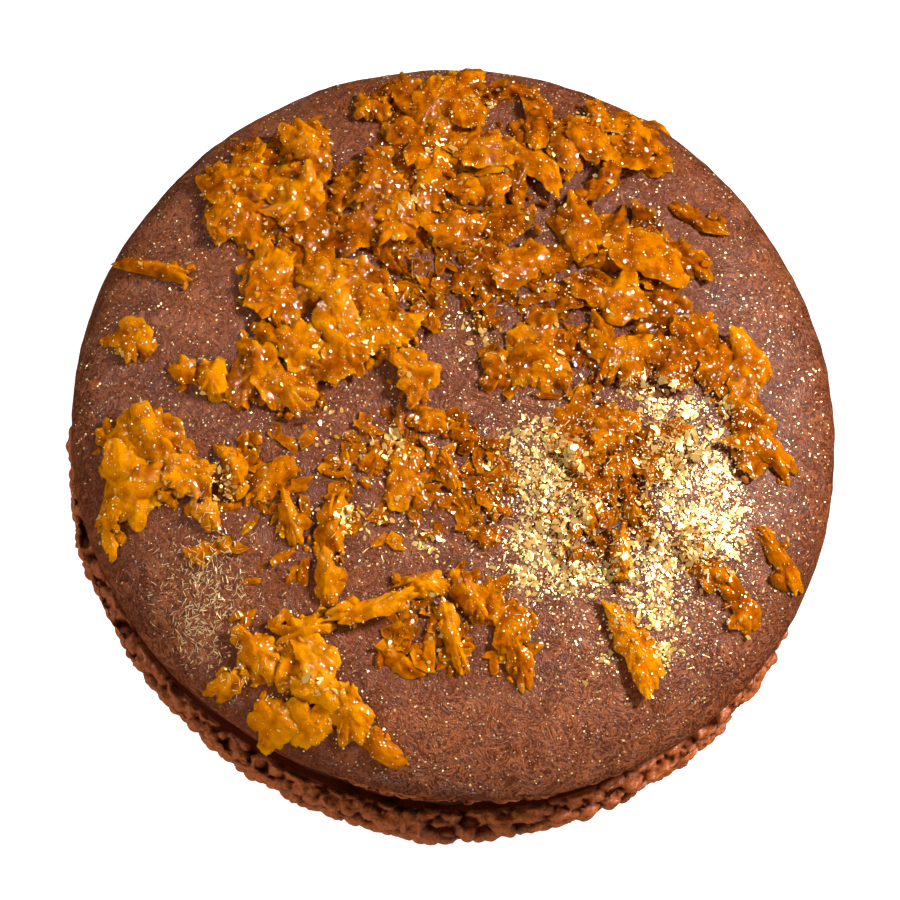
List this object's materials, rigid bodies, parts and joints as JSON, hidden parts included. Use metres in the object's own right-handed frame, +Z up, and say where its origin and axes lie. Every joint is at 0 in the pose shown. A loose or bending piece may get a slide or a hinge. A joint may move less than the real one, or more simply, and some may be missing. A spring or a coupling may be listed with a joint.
{
  "type": "macaron",
  "caption": "Round sandwich biscuit of domed chocolate almond shells with ragged feet round dark ganache, topped with candied orange zest and gold leaf.",
  "frame": {"origin": "middle of the flat spot under the lower shell that the macaron rests on", "axes": "+Z up through the crown of the upper shell, -Y towards the viewer in the reference view, +X to the viewer's right"},
  "size_m": [0.0494, 0.0494, 0.0227],
  "materials": {
    "shell": "baked chocolate almond meringue, matt skin with a fine wrinkled grain and a porous foot",
    "filling": "dark chocolate ganache, smooth and slightly glossy",
    "zest": "candied orange zest, translucent amber with a wet sugar gloss",
    "gold_leaf": "crumbled edible gold leaf and gold dust"
  },
  "bodies": {
    "root": {"top_shell": "shell", "filling": "filling", "bottom_shell": "shell"}
  },
  "joints": []
}
